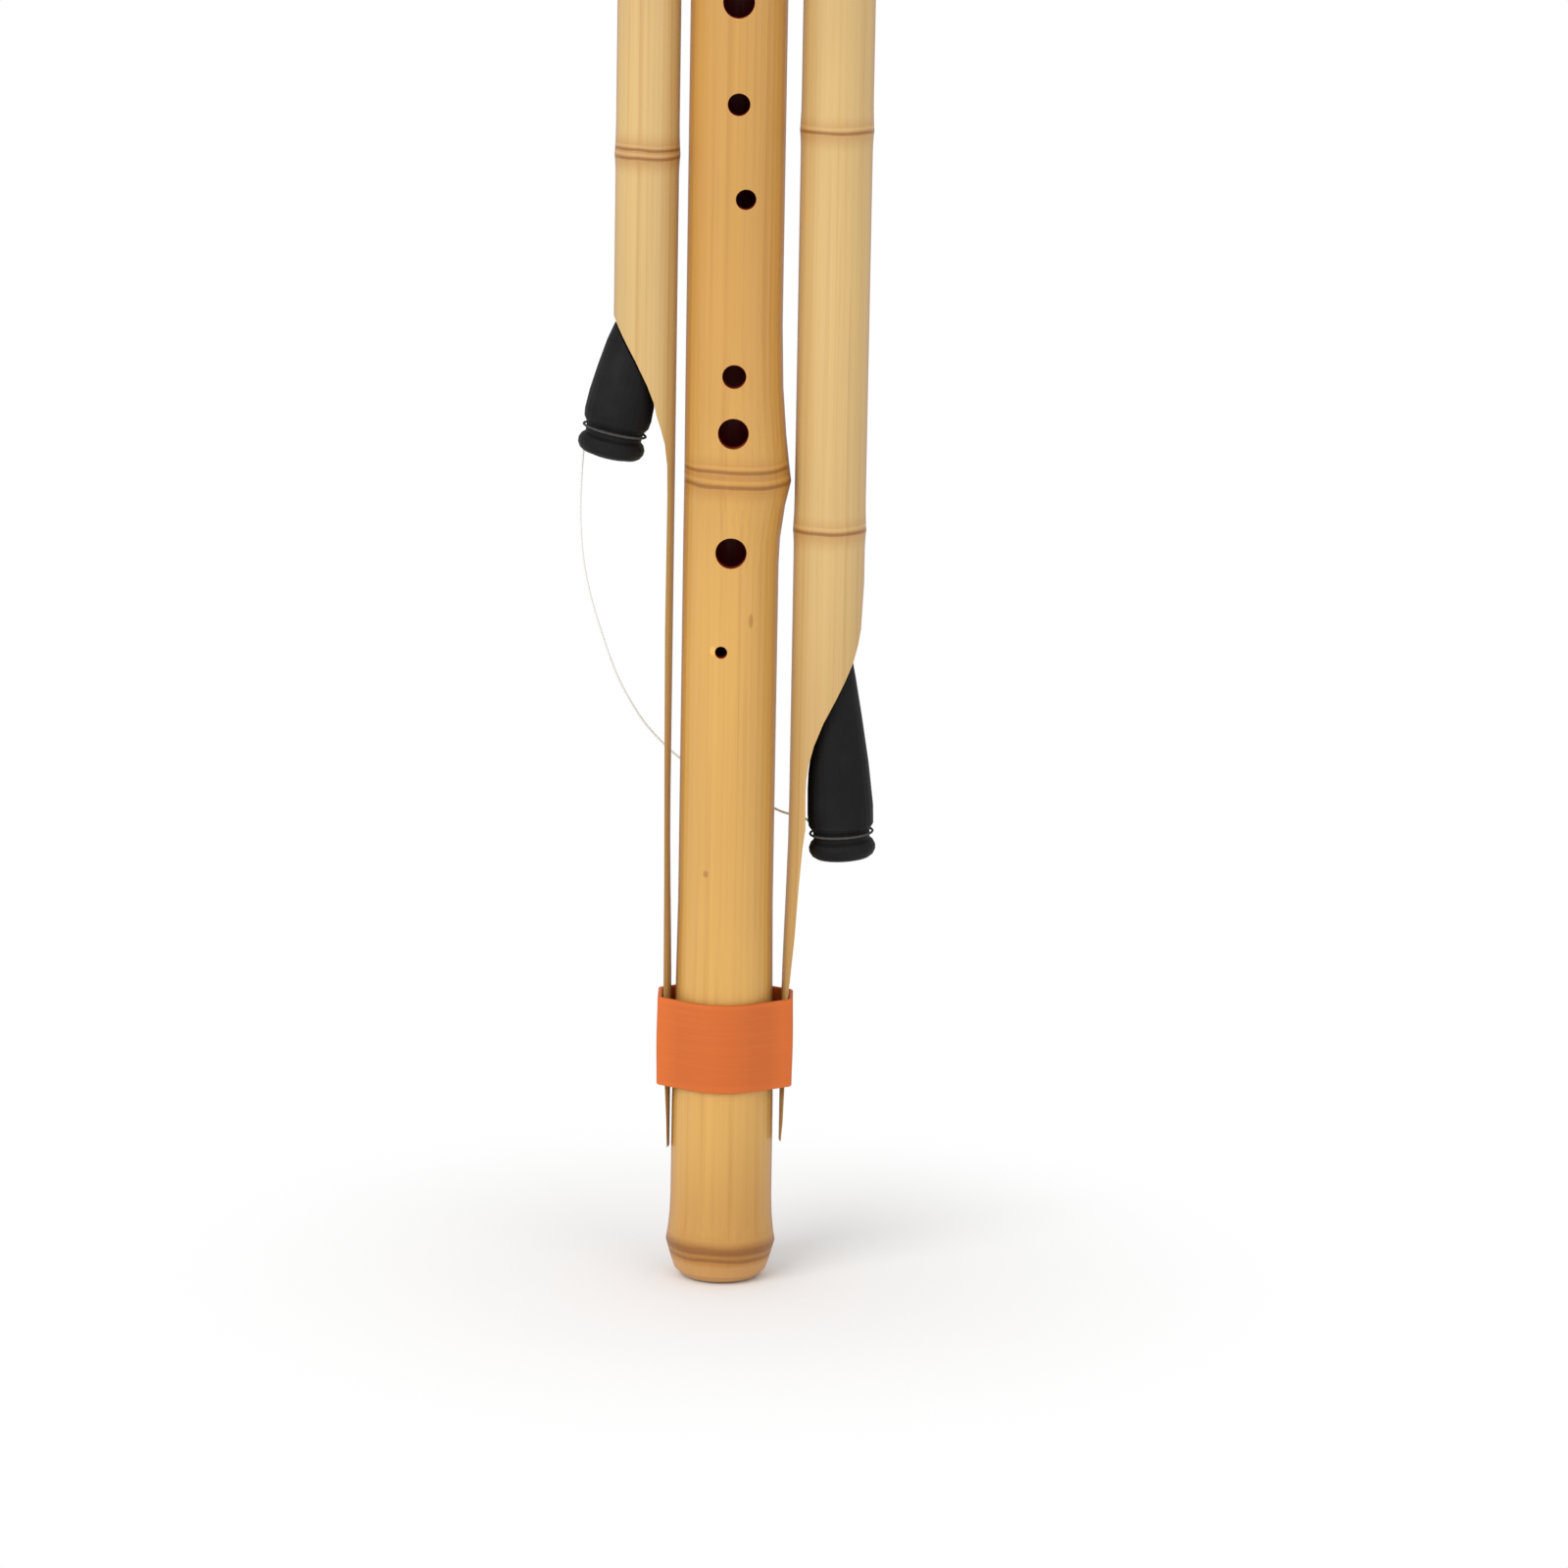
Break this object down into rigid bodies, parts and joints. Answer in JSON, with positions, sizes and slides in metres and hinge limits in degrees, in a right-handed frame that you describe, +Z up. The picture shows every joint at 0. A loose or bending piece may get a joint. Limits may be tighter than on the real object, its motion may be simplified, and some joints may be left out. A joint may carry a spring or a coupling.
{
  "type": "hulusi",
  "caption": "Gourd wind instrument with a fingered melody pipe between two drone pipes, each drone closed by a rubber stopper on a thread.",
  "frame": {"origin": "centre of the flat foot face of the melody pipe, on its axis", "axes": "+Z up along the melody pipe towards the gourd and mouthpiece, -Y towards the viewer on the finger hole side, +X to the viewer's right"},
  "size_m": [0.083, 0.083, 0.4746],
  "materials": {
    "melody_bamboo": "satin",
    "drone_bamboo": "satin",
    "gourd_skin": "satin",
    "cap_plastic": "gloss",
    "gasket_rubber": "matte",
    "collar_plastic": "gloss",
    "mouthpiece_plastic": "gloss",
    "reed_brass": "satin",
    "tongue_brass": "satin",
    "band_rubber": "matte",
    "plug_rubber": "matte",
    "thread_cotton": "matte"
  },
  "bodies": {
    "instrument": {"main_pipe": "melody_bamboo", "left_drone_pipe": "drone_bamboo", "right_drone_pipe": "drone_bamboo", "gourd_shell": "gourd_skin", "base_cap": "cap_plastic", "pipe_gasket": "gasket_rubber", "mouthpiece_collar": "collar_plastic", "mouthpiece_tube": "mouthpiece_plastic", "main_reed_plate": "reed_brass", "left_reed_plate": "reed_brass", "right_reed_plate": "reed_brass", "binding_band": "band_rubber", "plug_thread": "thread_cotton"},
    "left_stopper": {"left_plug": "plug_rubber", "left_plug_tie": "thread_cotton"},
    "right_stopper": {"right_plug": "plug_rubber", "right_plug_tie": "thread_cotton"},
    "main_tongue": {"main_reed_tongue": "tongue_brass"},
    "left_tongue": {"left_reed_tongue": "tongue_brass"},
    "right_tongue": {"right_reed_tongue": "tongue_brass"}
  },
  "joints": [
    {"name": "left_plug_slide", "type": "slide", "parent": "instrument", "child": "left_stopper", "axis": [-0.2079, 0, -0.9781], "range_m": [0, 0.022]},
    {"name": "right_plug_slide", "type": "slide", "parent": "instrument", "child": "right_stopper", "axis": [0.0698, 0, -0.9976], "range_m": [0, 0.024]},
    {"name": "main_tongue_swing", "type": "hinge", "parent": "instrument", "child": "main_tongue", "pos_m": [0, -0.00892, 0.321], "axis": [1, 0, 0], "range_deg": [-2.5, 2.5], "stiffness_Nm_per_rad": 0.0004},
    {"name": "left_tongue_swing", "type": "hinge", "parent": "instrument", "child": "left_tongue", "pos_m": [-0.017, -0.00575, 0.321], "axis": [1, 0, 0], "range_deg": [-2.5, 2.5], "stiffness_Nm_per_rad": 0.0004},
    {"name": "right_tongue_swing", "type": "hinge", "parent": "instrument", "child": "right_tongue", "pos_m": [0.0189, -0.00655, 0.321], "axis": [1, 0, 0], "range_deg": [-2.5, 2.5], "stiffness_Nm_per_rad": 0.0004}
  ]
}
